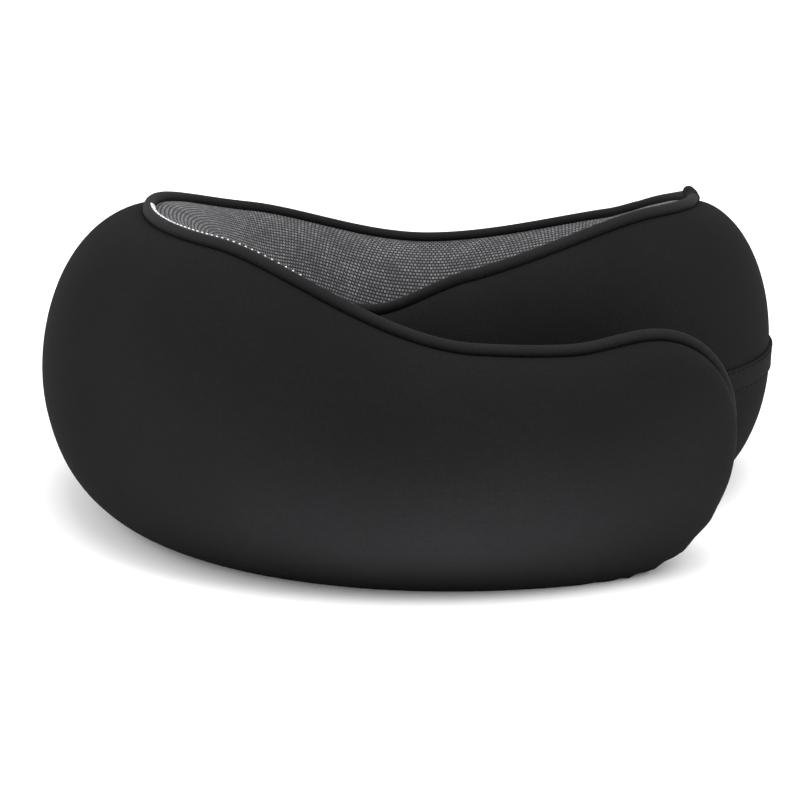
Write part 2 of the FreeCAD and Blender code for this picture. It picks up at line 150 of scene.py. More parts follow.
@dataclass(frozen=True)
class Cloth(Finish):
    """Knitted or woven cloth with ribs at a real spacing, soft sheen and faint shade changes."""

    shade_dark: str
    shade_light: str
    rib_mm: float
    course_mm: float
    rib_height_mm: float = 0.12
    roughness: float = 0.9
    sheen: float = 0.3
    gloss: float = 0.03
    sheen_hex: str = "#9a9aa0"
    cloudy_mm: float = 45.0
    fuzz_mm: float = 1.1

    def dress(self, tree: bpy.types.NodeTree, shader: bpy.types.Node) -> None:
        """Ribbed height, cloudy shade and sheen."""
        uv = add_node(tree, "ShaderNodeUVMap", uv_map=UV_NAME).outputs["UV"]
        where = add_node(tree, "ShaderNodeTexCoord").outputs["Object"]
        cloud = add_node(tree, "ShaderNodeTexNoise",
                         {"Vector": where, "Scale": 1 / (self.cloudy_mm * MM), "Detail": 3.0})
        fuzz = add_node(tree, "ShaderNodeTexNoise",
                        {"Vector": where, "Scale": 1 / (self.fuzz_mm * MM), "Detail": 2.0, "Roughness": 0.6})
        mix = add_node(tree, "ShaderNodeMath", {0: cloud.outputs["Fac"], 1: fuzz.outputs["Fac"]},
                       operation="MULTIPLY")
        colour = ramp(tree, mix.outputs[0], [(0.12, self.shade_dark), (0.42, self.shade_light)])
        height = self.rib_pattern(tree, uv)
        total = add_node(tree, "ShaderNodeMath", {0: height, 1: fuzz.outputs["Fac"]}, operation="ADD")
        bump = add_node(tree, "ShaderNodeBump",
                        {"Height": total.outputs[0], "Strength": 0.35,
                         "Distance": self.rib_height_mm * MM})
        tree.links.new(colour, shader.inputs["Base Color"])
        tree.links.new(bump.outputs["Normal"], shader.inputs["Normal"])
        shader.inputs["Roughness"].default_value = self.roughness
        shader.inputs["Specular IOR Level"].default_value = self.gloss
        shader.inputs["Sheen Weight"].default_value = self.sheen
        shader.inputs["Sheen Roughness"].default_value = 0.45
        shader.inputs["Sheen Tint"].default_value = linear(self.sheen_hex)

    def rib_pattern(self, tree: bpy.types.NodeTree, uv: bpy.types.NodeSocket) -> bpy.types.NodeSocket:
        """Height of the stitches: ribs one way, courses the other, multiplied.

        Args:
            tree: the node tree of the material.
            uv: surface coordinates in metres.

        Returns:
            The height socket.
        """
        waves = []
        for axis, pitch in (("X", self.rib_mm), ("Y", self.course_mm)):
            wave = add_node(tree, "ShaderNodeTexWave",
                            {"Vector": uv, "Scale": math.pi / (10 * pitch * MM), "Distortion": 0.25,
                             "Detail": 1.0, "Detail Scale": 0.4},
                            wave_type="BANDS", bands_direction=axis, wave_profile="SIN")
            waves.append(wave.outputs["Fac"])
        return add_node(tree, "ShaderNodeMath", {0: waves[0], 1: waves[1]},
                        operation="MULTIPLY").outputs[0]


@dataclass(frozen=True)
class Solid(Finish):
    """Plain moulded, cast or foamed stuff with a fine grain."""

    shade_dark: str
    shade_light: str
    grain_mm: float
    grain_height_mm: float = 0.05
    roughness: float = 0.5
    ior: float = 1.5

    def dress(self, tree: bpy.types.NodeTree, shader: bpy.types.Node) -> None:
        """Fine grain in shade and height."""
        where = add_node(tree, "ShaderNodeTexCoord").outputs["Object"]
        grain = add_node(tree, "ShaderNodeTexNoise",
                         {"Vector": where, "Scale": 1 / (self.grain_mm * MM), "Detail": 4.0})
        colour = ramp(tree, grain.outputs["Fac"], [(0.35, self.shade_dark), (0.65, self.shade_light)])
        bump = add_node(tree, "ShaderNodeBump",
                        {"Height": grain.outputs["Fac"], "Strength": 0.4,
                         "Distance": self.grain_height_mm * MM})
        tree.links.new(colour, shader.inputs["Base Color"])
        tree.links.new(bump.outputs["Normal"], shader.inputs["Normal"])
        shader.inputs["Roughness"].default_value = self.roughness
        shader.inputs["IOR"].default_value = self.ior


@dataclass(frozen=True)
class Netting(Finish):
    """Open spacer mesh: rows of short pale strands over dark holes."""

    hole_hex: str
    strand_hex: str
    bright_hex: str
    strand_mm: float = 1.75
    row_mm: float = 1.45
    gap_mm: float = 0.34
    height_mm: float = 0.2
    drift_mm: float = 38.0
    sway_mm: float = 2.4
    patch_mm: float = 16.0

    def dress(self, tree: bpy.types.NodeTree, shader: bpy.types.Node) -> None:
        """Rows of strands over holes, brighter in some patches."""
        uv = add_node(tree, "ShaderNodeUVMap", uv_map=UV_NAME).outputs["UV"]
        drift = add_node(tree, "ShaderNodeTexNoise",
                         {"Vector": uv, "Scale": 1 / (self.drift_mm * MM), "Detail": 1.0})
        bend = add_node(tree, "ShaderNodeVectorMath",
                        {0: drift.outputs["Color"], 1: (0.0, self.sway_mm * MM, 0.0)}, operation="MULTIPLY")
        bent = add_node(tree, "ShaderNodeVectorMath", {0: uv, 1: bend.outputs[0]}, operation="ADD")
        weave = add_node(tree, "ShaderNodeTexBrick",
                         {"Vector": bent.outputs[0], "Color1": linear(self.strand_hex),
                          "Color2": linear(self.bright_hex), "Mortar": linear(self.hole_hex),
                          "Scale": 1 / MM, "Mortar Size": self.gap_mm, "Mortar Smooth": 0.25,
                          "Bias": -0.3, "Brick Width": self.strand_mm, "Row Height": self.row_mm},
                         offset=0.5, squash=1.0)
        patch = add_node(tree, "ShaderNodeTexNoise",
                         {"Vector": uv, "Scale": 1 / (self.patch_mm * MM), "Detail": 2.0})
        tone = ramp(tree, patch.outputs["Fac"], [(0.3, "#c4c4c6"), (0.7, "#f4f4f4")])
        shade = add_node(tree, "ShaderNodeMix", {"Factor": 1.0, 6: weave.outputs["Color"], 7: tone},
                         data_type="RGBA", blend_type="MULTIPLY")
        raised = add_node(tree, "ShaderNodeMath", {0: 1.0, 1: weave.outputs["Fac"]}, operation="SUBTRACT")
        bump = add_node(tree, "ShaderNodeBump", {"Height": raised.outputs[0], "Strength": 0.5,
                                                 "Distance": self.height_mm * MM})
        tree.links.new(shade.outputs[2], shader.inputs["Base Color"])
        tree.links.new(bump.outputs["Normal"], shader.inputs["Normal"])
        shader.inputs["Roughness"].default_value = 0.7
        shader.inputs["Specular IOR Level"].default_value = 0.3


# Fine cotton-elastane jersey: an even, matt black with no shine.
JERSEY = Cloth("cotton_elastane_jersey", "#141415", "#181819", 1.0, 1.3, roughness=0.95, sheen=0.0)
# Polyester spacer mesh: grey yarn that catches light on every raised strand.
SPACER_MESH = Netting("polyester_spacer_mesh", "#0b0b0c", "#606064", "#8a8a8e")
# Dark tricot behind the mesh holes.
TRICOT = Cloth("nylon_tricot", "#0c0c0d", "#141415", 0.8, 0.8, sheen=0.05)
# Bias-cut jersey rolled round a cord: stretched, so a little smoother and glossier.
BINDING = Cloth("jersey_bias_binding", "#131314", "#181819", 0.9, 1.1, roughness=0.8, sheen=0.0, gloss=0.1)
# Folded flat elastic: tighter ribs that shine a little more than the jersey.
ELASTIC = Cloth("ribbed_elastic", "#151516", "#1a1a1b", 1.4, 0.8, rib_height_mm=0.15, sheen=0.0)
# Woven zip tape: close herringbone that reads as even ribs.
TAPE = Cloth("polyester_zip_tape", "#121213", "#1c1c1e", 0.8, 0.6, roughness=0.75, sheen=0.2)
# Cotton filler cord: pale, loosely twisted.
COTTON = Cloth("cotton_filler_cord", "#b5b0a4", "#d8d4c8", 1.2, 1.2, rib_height_mm=0.3, sheen_hex="#ffffff")
# Slow-recovery foam: cream, fine open cells.
FOAM = Solid("slow_recovery_foam", "#cfc8b4", "#e2dcca", 1.2, 0.15, roughness=0.95)
# Moulded acetal teeth: dull black with a slight gloss.
ACETAL = Solid("moulded_acetal", "#101011", "#161617", 2.0, 0.02, roughness=0.42, ior=1.48)
# Black enamelled zinc: smooth and glossy, orange-peel ripple.
ENAMEL = Solid("enamelled_zinc", "#0d0d0e", "#131314", 1.5, 0.03, roughness=0.28, ior=1.52)
# Polyester sewing thread: matt and as dark as the cloth it holds.
THREAD = Cloth("polyester_thread", "#121213", "#181819", 0.4, 0.4, rib_height_mm=0.05, sheen=0.0)
# Edge thread painted near white: a painted highlight that stands in for the glints on the stitches along the
# rim, bright against the grey mesh.
RIM_STITCH_PAINTED_HIGHLIGHT = Solid("thread_painted_highlight", "#c9c9cb", "#e6e6e8", 0.4, 0.05, roughness=0.5)


# ---------------------------------------------------------------------------
# The form: two halves of a ring of foam, in millimetres until they are placed
# ---------------------------------------------------------------------------


@dataclass(frozen=True)
class Section:
    """One cross section: turn in degrees, the rest in millimetres."""

    turn: float
    crest: float
    waist: float
    outer: float
    inner: float
    seam: float


@dataclass(frozen=True)
class Profile:
    """A cross section at one place, after the rounding of the tip."""

    top: float
    waist: float
    outer: float
    inner: float
    seam: float
    floor: float
    drop: float

    def width(self, side: Side) -> float:
        """Half width on one side."""
        return self.outer if side is Side.OUTER else self.inner

    def low_angle(self) -> float:
        """Angle below the widest level at which the section meets its flat under side."""
        return -math.asin(min(1.0, (self.waist - self.floor) / max(self.drop, 1e-6)))

    def seam_angle(self) -> float:
        """Angle below the widest level at which the lower seam runs."""
        return -math.asin(min(1.0, (self.waist - self.seam) / max(self.drop, 1e-6)))


BACK = Section(0, 70, 36, 29, 26, 24)
LEFT_FLANK = Section(45, 88, 36, 29, 29, 24)
RIGHT_FLANK = Section(45, 85.2, 36, 29, 29, 24)
RING_RADIUS = 101.0
FLOOR_SINK = 4.0
TIP_BLUNTNESS = 2.1
UNDER_BLUNTNESS = 2.1
PANEL = 1.0
LINER = 0.6
STRAIGHT_SHARE = 0.9
WALL_SHARE = 0.4


@dataclass(frozen=True)
class HalfRing:
    """One half of the ring, from the middle of the back to the tip of an arm."""

    name: str
    sign: int
    arcs: tuple[tuple[float, float], ...]
    sections: tuple[Section, ...]
    tip: float
    blend_from: float
    blend_to: float
    undercut: float
    resting_side: Side
    resting_turn: float
    gather: float

    @property
    def body(self) -> str:
        """Name of the frame body that the arm is."""
        return self.name + "_arm"

    @property
    def length(self) -> float:
        """Length of the crest up to where the tip starts."""
        return sum(math.radians(turn) * radius for turn, radius in self.arcs)

    def normal(self, turn: float) -> Vector:
        """Level direction out of the ring."""
        a = math.radians(turn)
        return Vector((self.sign * math.sin(a), math.cos(a), 0))

    def heading(self, turn: float) -> Vector:
        """Level direction from the back to the tip."""
        a = math.radians(turn)
        return Vector((self.sign * math.cos(a), -math.sin(a), 0))

    def at(self, s: float) -> tuple[Vector, float]:
        """Crest point on the floor and turn at a distance along the half.

        Args:
            s: distance from the middle of the back.

        Returns:
            The point, in millimetres, and the turn in degrees.
        """
        centre = RING_CENTRE.copy()
        radius = RING_RADIUS
        turn = 0.0
        left = s
        for sweep, arc_radius in self.arcs:
            centre = centre + self.normal(turn) * (radius - arc_radius)
            radius = arc_radius
            step = min(left, math.radians(sweep) * radius)
            turn += math.degrees(step / radius)
            left -= step
            if left <= 0:
                return centre + self.normal(turn) * radius, turn
        return centre + self.normal(turn) * radius + self.heading(turn) * left, turn

    def distance(self, turn: float) -> float:
        """Distance along the half at which a turn is reached."""
        s = 0.0
        for sweep, radius in self.arcs:
            step = min(turn, sweep)
            s += math.radians(step) * radius
            turn -= step
        return s

    def blended(self, attribute: str, turn: float) -> float:
        """One size of the section at a turn, without overshoot between sections.

        Args:
            attribute: name of a Section field.
            turn: turn from the middle of the back, in degrees.

        Returns:
            The size in millimetres.
        """
        x = [row.turn for row in self.sections]
        y = [getattr(row, attribute) for row in self.sections]
        turn = min(max(turn, x[0]), x[-1])
        last = len(x) - 1
        i = max(k for k in range(last) if x[k] <= turn)
        rise = [(y[k + 1] - y[k]) / (x[k + 1] - x[k]) for k in range(last)]
        slope = [0.0] * (last + 1)
        for k in range(1, last):
            if rise[k - 1] * rise[k] > 0:
                slope[k] = 2 * rise[k - 1] * rise[k] / (rise[k - 1] + rise[k])
        h = x[i + 1] - x[i]
        t = (turn - x[i]) / h
        low = (2 * t - 3) * t * t + 1
        return (low * y[i] + (1 - low) * y[i + 1]
                + t * (1 - t) ** 2 * h * slope[i] - t * t * (1 - t) * h * slope[i + 1])

    def profile(self, s: float, depth: float = 0.0) -> Profile:
        """Cross section at a distance, a depth below the skin."""
        turn = self.at(s)[1]
        t = (s - self.length) / (self.tip - depth)
        k = 1.0 if t <= 0 else max(0.0, 1 - t ** TIP_BLUNTNESS) ** (1 / TIP_BLUNTNESS)
        u = (s - self.length + self.undercut) / (self.tip - depth + self.undercut)
        low = 1.0 if u <= 0 else max(0.0, 1 - u ** UNDER_BLUNTNESS) ** (1 / UNDER_BLUNTNESS)
        waist = self.blended("waist", turn)
        return Profile(
            top=waist + (self.blended("crest", turn) - depth - waist) * k,
            waist=waist,
            outer=(self.blended("outer", turn) - depth) * k,
            inner=(self.blended("inner", turn) - depth) * k,
            seam=waist + (self.blended("seam", turn) - waist) * low,
            floor=waist + (depth - waist) * low,
            drop=(waist + FLOOR_SINK - depth) * low,
        )

    def place(self, s: float, across: float, height: float) -> Vector:
        """Point in metres at a distance along, across (outwards) and above the floor."""
        base, turn = self.at(s)
        return (base + self.normal(turn) * across + Vector((0, 0, height))) * MM

    def run(self, share: float, depth: float = 0.0) -> float:
        """Distance along for an even share of a grid, closer together round the tip."""
        if share <= STRAIGHT_SHARE:
            return self.length * share / STRAIGHT_SHARE
        k = math.cos((share - STRAIGHT_SHARE) / (1 - STRAIGHT_SHARE) * math.pi / 2)
        bend = max(0.0, 1 - k ** TIP_BLUNTNESS) ** (1 / TIP_BLUNTNESS)
        return self.length + (self.tip - depth) * bend

    def skin(self, s: float, side: Side, angle: float, depth: float = 0.0, sunk: float = 0.0) -> Vector:
        """Point on a layer of the section.

        Args:
            s: distance along the half.
            side: outer or inner face.
            angle: from the widest level, up to a quarter turn at the crest, in radians.
            depth: layer below the skin.
            sunk: a further push inwards along the section's own normal.

        Returns:
            The point in metres.
        """
        shape = self.profile(s, depth)
        width = max(shape.width(side), 1e-3)
        rise = max(shape.top - shape.waist if angle > 0 else shape.drop, 1e-3)
        across = width * math.cos(angle)
        height = shape.waist + rise * math.sin(angle)
        lean = Vector((math.cos(angle) / width, math.sin(angle) / rise)).normalized()
        across = (across - sunk * lean.x) * side.value
        return self.place(s, across, max(height - sunk * lean.y, shape.floor))

    def loop_point(self, s: float, turn: float, depth: float) -> Vector:
        """Point round the whole section of a layer, for a share from 0 to 1."""
        shape = self.profile(s, depth)
        low = shape.low_angle()
        wall = WALL_SHARE
        if turn < wall:
            return self.skin(s, Side.OUTER, math.pi / 2 + (low - math.pi / 2) * turn / wall, depth)
        if turn > 1 - wall:
            back = (1 - turn) / wall
            return self.skin(s, Side.INNER, math.pi / 2 + (low - math.pi / 2) * back, depth)
        first = self.skin(s, Side.OUTER, low, depth)
        return first.lerp(self.skin(s, Side.INNER, low, depth), (turn - wall) / (1 - 2 * wall))

    def crest_marks(self) -> list[float]:
        """Distances at which the rim is sampled when points are held to it."""
        return [self.length * i / 60 for i in range(61)] + [self.length + self.tip * 0.7]

    def cloth_run(self, share: float) -> float:
        """First cloth coordinate, in metres, for a share of a grid along the half."""
        return self.sign * self.run(share) * MM

    def heart(self, s: float) -> Vector:
        """Point inside the section at its widest level."""
        return self.place(s, 0, self.profile(s).waist)

    def crest_point(self, s: float) -> Vector:
        """Point on the crest of the skin."""
        return self.place(s, 0, self.profile(s).top)

    def nodes(self, kind: str) -> list[str]:
        """Nodes of one kind that a piece of this half stands for; the left one takes the back too."""
        return [kind + self.body] + ([kind + "back"] if self.sign < 0 else [])

    def flex(self, piece: bpy.types.Object) -> None:
        """Bake a piece's placement into its mesh."""
        self.body
        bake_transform(piece)


def ring_centre() -> Vector:
    """Centre of the back arc, which is also the axis that the zip slider runs round."""
    joint = next(j for j in frame["joints"] if j["name"] == "zip_run")
    x, y, _ = joint["pos_m"]
    return Vector((x, y, 0)) / MM


RING_CENTRE = ring_centre()
LEFT = HalfRing(
    "left", -1, ((135.0, 101.0), (45.0, 116.0), (20.6, 160.0)),
    (BACK, LEFT_FLANK, Section(90, 102, 47, 39, 36, 25), Section(135, 101, 36, 40.5, 28, 1.5),
     Section(180, 74, 37, 31, 19, 0.8), Section(191, 72.8, 39, 28, 19.5, 0.8),
     Section(200.6, 76, 44, 25, 20, 0.8)),
    30.0, 0.080, -0.030, 14.0, Side.INNER, 165.0, 1.0)
RIGHT = HalfRing(
    "right", 1, ((55.0, 101.0), (80.0, 71.0), (45.0, 93.0), (27.0, 70.0)),
    (BACK, RIGHT_FLANK, Section(56, 91.2, 38.5, 29.1, 30.5, 24),
     Section(67.5, 95.5, 41, 29.2, 32.5, 24), Section(90, 101, 50, 29.5, 36, 20),
     Section(135, 104, 50, 30, 30, 9), Section(180, 87, 42, 19, 22, 9),
     Section(207, 74.5, 38, 15, 19, 9)),
    27.0, 0.085, -0.018, 16.0, Side.OUTER, 110.0, 0.4)
HALVES = (LEFT, RIGHT)


# ---------------------------------------------------------------------------
# Mesh helpers
# ---------------------------------------------------------------------------


def new_piece(name: str, mesh: bmesh.types.BMesh, finish: Finish) -> bpy.types.Object:
    """Turn a bmesh into an object at the origin, smooth shaded and dressed.

    Args:
        name: name of the piece.
        mesh: the finished bmesh, which is freed.
        finish: what it is made of.

    Returns:
        The new object.
    """
    data = bpy.data.meshes.new(name)
    mesh.to_mesh(data)
    mesh.free()
    data.polygons.foreach_set("use_smooth", [True] * len(data.polygons))
    data.materials.append(finish.material())
    piece = bpy.data.objects.new(name, data)
    bpy.context.scene.collection.objects.link(piece)
    return piece


def thicken(piece: bpy.types.Object, thickness: float) -> None:
    """Give a sheet its thickness, inwards from its face, in millimetres."""
    wall = piece.modifiers.new("thickness", "SOLIDIFY")
    wall.thickness = thickness * MM
    wall.offset = -1.0


def lay_grid(columns: int, rows: int, place: Callable[[float, float], Vector],
             along: Callable[[float], float], inside: Vector) -> bmesh.types.BMesh:
    """Grid laid over a surface, with cloth coordinates in metres.

    Args:
        columns: cells along the half.
        rows: cells across it.
        place: place in metres for two shares from 0 to 1.
        along: first cloth coordinate for a share along.
        inside: a point on the inner side of the grid's middle.

    Returns:
        The bmesh, facing away from the inside, its doubles merged.
    """
    points = [[place(i / columns, j / rows) for j in range(rows + 1)] for i in range(columns + 1)]
    mesh = bmesh.new()
    layer = mesh.loops.layers.uv.new(UV_NAME)
    bmesh.ops.create_grid(mesh, x_segments=columns, y_segments=rows, size=0.5)
    reach = []
    for line in points:
        total = [0.0]
        for first, second in zip(line, line[1:]):
            total.append(total[-1] + (second - first).length)
        reach.append(total)
    cell = {v: (round((v.co.x + 0.5) * columns), round((v.co.y + 0.5) * rows)) for v in mesh.verts}
    for face in mesh.faces:
        for loop in face.loops:
            i, j = cell[loop.vert]
            loop[layer].uv = (along(i / columns), reach[i][j])
    for vert, (i, j) in cell.items():
        vert.co = points[i][j]
    i, j = columns // 2, rows // 2
    spot = points[i][j]
    if (points[i + 1][j] - spot).cross(points[i][j + 1] - spot).dot(spot - inside) < 0:
        bmesh.ops.reverse_faces(mesh, faces=mesh.faces)
    bmesh.ops.remove_doubles(mesh, verts=mesh.verts, dist=0.00002)
    for edge in mesh.edges:
        edge.smooth = not edge.is_boundary
    return mesh


def close_ends(mesh: bmesh.types.BMesh) -> None:
    """Close every open loop of a tube with a face."""
    edges = [edge for edge in mesh.edges if edge.is_boundary]
    bmesh.ops.holes_fill(mesh, edges=edges, sides=0)


def clamped(value: float) -> float:
    """Value held between 0 and 1."""
    return min(1.0, max(0.0, value))


def groove(distance: float, depth: float, width: float) -> float:
    """Depth of a sewn valley at a distance from its line, in millimetres."""
    return depth * math.exp(-(distance / width) ** 2)


# ---------------------------------------------------------------------------
# Swell of the stuffed cover
# ---------------------------------------------------------------------------


@dataclass
class Swell:
    """How far the stuffed cover stands off its pattern, from a cloth simulation of one half."""

    half: HalfRing
    voxel_mm: float = 5.0
    pressure: float = 60.0
    point_mass: float = 0.002
    stiffness: float = 3.0
    shrink_mm: float = 1.5
    cap_mm: float = 3.0
    keep: float = 0.9
    steps: int = 20
    floor_hold: tuple[float, float] = (30.0, 12.0)
    rim_hold: tuple[float, float] = (5.0, 10.0)
    middle_hold: float = 8.0
    spots: KDTree | None = None
    moves: list[float] = field(default_factory=list)

    def simulate(self) -> None:
        """Inflate a remeshed copy of the half, held at its seams, and keep how far it moved."""
        mesh = closed_half(self.half, self.shrink_mm, 90, 44)
        bag = new_piece("swell_" + self.half.name, mesh, JERSEY)
        remesh = bag.modifiers.new("remesh", "REMESH")
        remesh.mode = "VOXEL"
        remesh.voxel_size = self.voxel_mm * MM
        self.apply(bag, remesh.name)
        before = [v.co.copy() for v in bag.data.vertices]
        normals = [v.normal.copy() for v in bag.data.vertices]
        held = bag.vertex_groups.new(name="held")
        crest = [self.half.crest_point(s) for s in self.half.crest_marks()]
        for index, spot in enumerate(before):
            held.add([index], self.hold(spot, crest), "REPLACE")
        cloth = bag.modifiers.new("cloth", "CLOTH")
        cloth.settings.vertex_group_mass = "held"
        cloth.settings.use_pressure = True
        cloth.settings.uniform_pressure_force = self.pressure
        cloth.settings.mass = self.point_mass
        cloth.settings.tension_stiffness = self.stiffness
        cloth.settings.compression_stiffness = self.stiffness
        cloth.settings.quality = 6
        cloth.settings.effector_weights.gravity = 0
        cloth.collision_settings.use_collision = False
        scene = bpy.context.scene
        for step in range(1, self.steps + 1):
            scene.frame_set(step)
        self.apply(bag, cloth.name)
        cap = self.cap_mm * MM
        move = [min(max((v.co - spot).dot(normal), -cap), cap)
                for v, spot, normal in zip(bag.data.vertices, before, normals)]
        self.moves = self.smoothed(bag.data, move)
        self.spots = KDTree(len(before))
        for index, spot in enumerate(before):
            self.spots.insert(spot, index)
        self.spots.balance()
        scene.frame_set(1)
        bpy.data.objects.remove(bag, do_unlink=True)
        LOG.info("swell %s: %d points, %.2f mm at most", self.half.name, len(before),
                 max(self.moves) / MM)

    def apply(self, piece: bpy.types.Object, name: str) -> None:
        """Apply one modifier of a piece."""
        with bpy.context.temp_override(object=piece, active_object=piece):
            bpy.ops.object.modifier_apply(modifier=name)

    def smoothed(self, data: bpy.types.Mesh, values: list[float]) -> list[float]:
        """Even a value out over neighbouring points, twice over."""
        for _ in range(2):
            total = list(values)
            count = [1] * len(values)
            for edge in data.edges:
                a, b = edge.vertices
                total[a] += values[b]
                total[b] += values[a]
                count[a] += 1
                count[b] += 1
            values = [t / n for t, n in zip(total, count)]
        return values

    def hold(self, spot: Vector, crest: list[Vector]) -> float:
        """How firmly the seams and the floor hold a point, from 0 to 1."""
        level, fade = self.floor_hold
        low = 1 - clamped((spot.z / MM - level) / fade)
        nearest = min((spot - point).length for point in crest)
        level, fade = self.rim_hold
        high = 1 - clamped((nearest / MM - level) / fade)
        centre = 1 - clamped(abs(spot.x - RING_CENTRE.x * MM) / MM / self.middle_hold)
        middle = centre if spot.y > RING_CENTRE.y * MM else 0.0
        return max(low, high, middle)

    def at(self, spot: Vector) -> float:
        """Distance in metres to move a point of the pattern outwards."""
        if not self.spots:
            return 0.0
        total = 0.0
        share = 0.0
        for _, index, distance in self.spots.find_n(spot, 5):
            weight = 1 / (distance + 0.001)
            total += weight * self.moves[index]
            share += weight
        return self.keep * total / share


def closed_half(half: HalfRing, depth: float, columns: int, rows: int) -> bmesh.types.BMesh:
    """Closed form of one half at a depth below the skin.

    Args:
        half: the half ring.
        depth: layer below the skin, in millimetres.
        columns: cells along.
        rows: cells round.

    Returns:
        The bmesh with its end at the middle of the back closed.
    """
    def place(share: float, turn: float) -> Vector:
        """Place a share along and a share round."""
        return half.loop_point(half.run(share, depth), turn, depth)

    mesh = lay_grid(columns, rows, place, lambda share: half.sign * half.run(share, depth) * MM,
                    half.heart(half.run(0.5)))
    close_ends(mesh)
    return mesh


# ---------------------------------------------------------------------------
# Cover, filling, rim, pocket and zip
# ---------------------------------------------------------------------------


@dataclass
class Cover:
    """Knit outer panel, mesh inner face and base panel of one half."""

    half: HalfRing
    swell: Swell
    columns: int = 150
    rows: int = 44
    base_rows: int = 50
    base_wall: float = 0.36
    seam_depth: float = 0.25
    seam_width: float = 1.6
    tuck_depth: float = 0.5
    tuck_width: float = 3.0
    pucker: float = 0.9
    pucker_pitch: float = 8.5
    pucker_run: float = 30.0
    pucker_onset: float = 25.0
    pucker_reach: float = 11.0
    unevenness: float = 0.45
    fade_turn: float = 100.0
    fade_sweep: float = 25.0

    def build(self) -> list[bpy.types.Object]:
        """Make the three panels."""
        return [self.face(Side.OUTER, "outer_cover_", JERSEY, "outer_panel_"),
                self.face(Side.INNER, "mesh_face_", SPACER_MESH, "mesh_panel_"),
                self.base()]

    def point(self, s: float, side: Side, angle: float) -> Vector:
        """Point of the sewn and stuffed skin.

        Args:
            s: distance along the half, in millimetres.
            side: outer or inner face.
            angle: from the widest level, in radians.

        Returns:
            The point in metres.
        """
        shape = self.half.profile(s)
        seam = shape.seam_angle()
        from_seam = (angle - seam) * max(shape.drop, 1.0)
        from_rim = (math.pi / 2 - angle) * max(shape.width(side), 1.0)
        deep = self.seam_depth * (1 - clamped((self.half.at(s)[1] - self.fade_turn) / self.fade_sweep))
        sunk = groove(from_seam, deep, self.seam_width)
        sunk += groove(from_rim, self.tuck_depth, self.tuck_width)
        sunk += self.puckers(s, from_seam)
        flat = self.half.skin(s, side, angle)
        wave = noise.noise(flat * 24) * self.unevenness * self.calm(s, side, angle)
        move = self.swell.at(flat) / MM * self.calm(s, side, angle)
        return self.half.skin(s, side, angle, 0.0, sunk - wave - move)

    def calm(self, s: float, side: Side, angle: float) -> float:
        """Share of the swell kept, none where the arms lie on each other or at the zip."""
        shape = self.half.profile(s)
        turn = self.half.at(s)[1]
        seam = shape.seam_angle()
        share = clamped((angle - seam) / 0.35) * clamped((1.5 - angle) / 0.3)
        if side is self.half.resting_side:
            share *= clamped((self.half.resting_turn - turn) / 15)
        return share

    def puckers(self, s: float, from_seam: float) -> float:
        """Gathers of the cloth beside the seam under the tip."""
        onset = (s - self.half.length + self.pucker_run) / self.pucker_onset
        if onset <= 0:
            return 0.0
        near = math.exp(-(from_seam / self.pucker_reach) ** 2)
        wave = math.cos(2 * math.pi * s / self.pucker_pitch + 0.9 * math.sin(s / 5))
        return self.pucker * self.half.gather * min(1.0, onset) * near * (0.5 + 0.5 * wave)

    def face(self, side: Side, name: str, finish: Finish, node: str) -> bpy.types.Object:
        """Panel from the rim down to the lower seam on one side.

        Args:
            side: outer or inner face.
            name: start of the piece's name.
            finish: its cloth.
            node: start of the names of the nodes it replaces.

        Returns:
            The piece.
        """
        def place(share: float, down: float) -> Vector:
            """Place on the panel, a share along and a share down from the rim."""
            s = self.half.run(share)
            low = self.half.profile(s).seam_angle()
            return self.point(s, side, math.pi / 2 + (low - math.pi / 2) * down)

        mesh = lay_grid(self.columns, self.rows, place, self.half.cloth_run,
                        self.half.heart(self.half.run(0.5)))
        piece = new_piece(name + self.half.name, mesh, finish)
        thicken(piece, PANEL)
        self.settle(piece, node)
        return piece

    def base(self) -> bpy.types.Object:
        """Panel below the lower seam, round under the pillow and up to the seam inside."""
        def place(share: float, turn: float) -> Vector:
            """Place a share along and a share round."""
            s = self.half.run(share)
            shape = self.half.profile(s)
            seam, low = shape.seam_angle(), shape.low_angle()
            wall = self.base_wall
            if turn < wall:
                return self.point(s, Side.OUTER, seam + (low - seam) * turn / wall)
            if turn > 1 - wall:
                return self.point(s, Side.INNER, seam + (low - seam) * (1 - turn) / wall)
            first = self.point(s, Side.OUTER, low)
            return first.lerp(self.point(s, Side.INNER, low), (turn - wall) / (1 - 2 * wall))

        mesh = lay_grid(self.columns, self.base_rows, place, self.half.cloth_run,
                        self.half.heart(self.half.run(0.5)))
        piece = new_piece("base_cover_" + self.half.name, mesh, JERSEY)
        thicken(piece, PANEL)
        self.settle(piece, "base_panel_")
        return piece

    def settle(self, piece: bpy.types.Object, node: str) -> None:
        """Replace the CAD panel by hiding it, and bake the piece's placement into its mesh."""
        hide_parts(*self.half.nodes(node))
        self.half.flex(piece)


@dataclass
class Filling:
    """Foam core and its thin liner, seen only when the cover is off."""

    half: HalfRing
    columns: int = 60
    rows: int = 36

    def build(self) -> list[bpy.types.Object]:
        """Make the core and the liner."""
        pieces = []
        for kind, depth, finish in (("foam_liner_", PANEL + 0.9, TRICOT),
                                    ("foam_core_", PANEL + LINER + 1.0, FOAM)):
            mesh = closed_half(self.half, depth, self.columns, self.rows)
            piece = new_piece(kind + self.half.name, mesh, finish)
            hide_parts(*self.half.nodes(kind))
            self.half.flex(piece)
            pieces.append(piece)
        return pieces


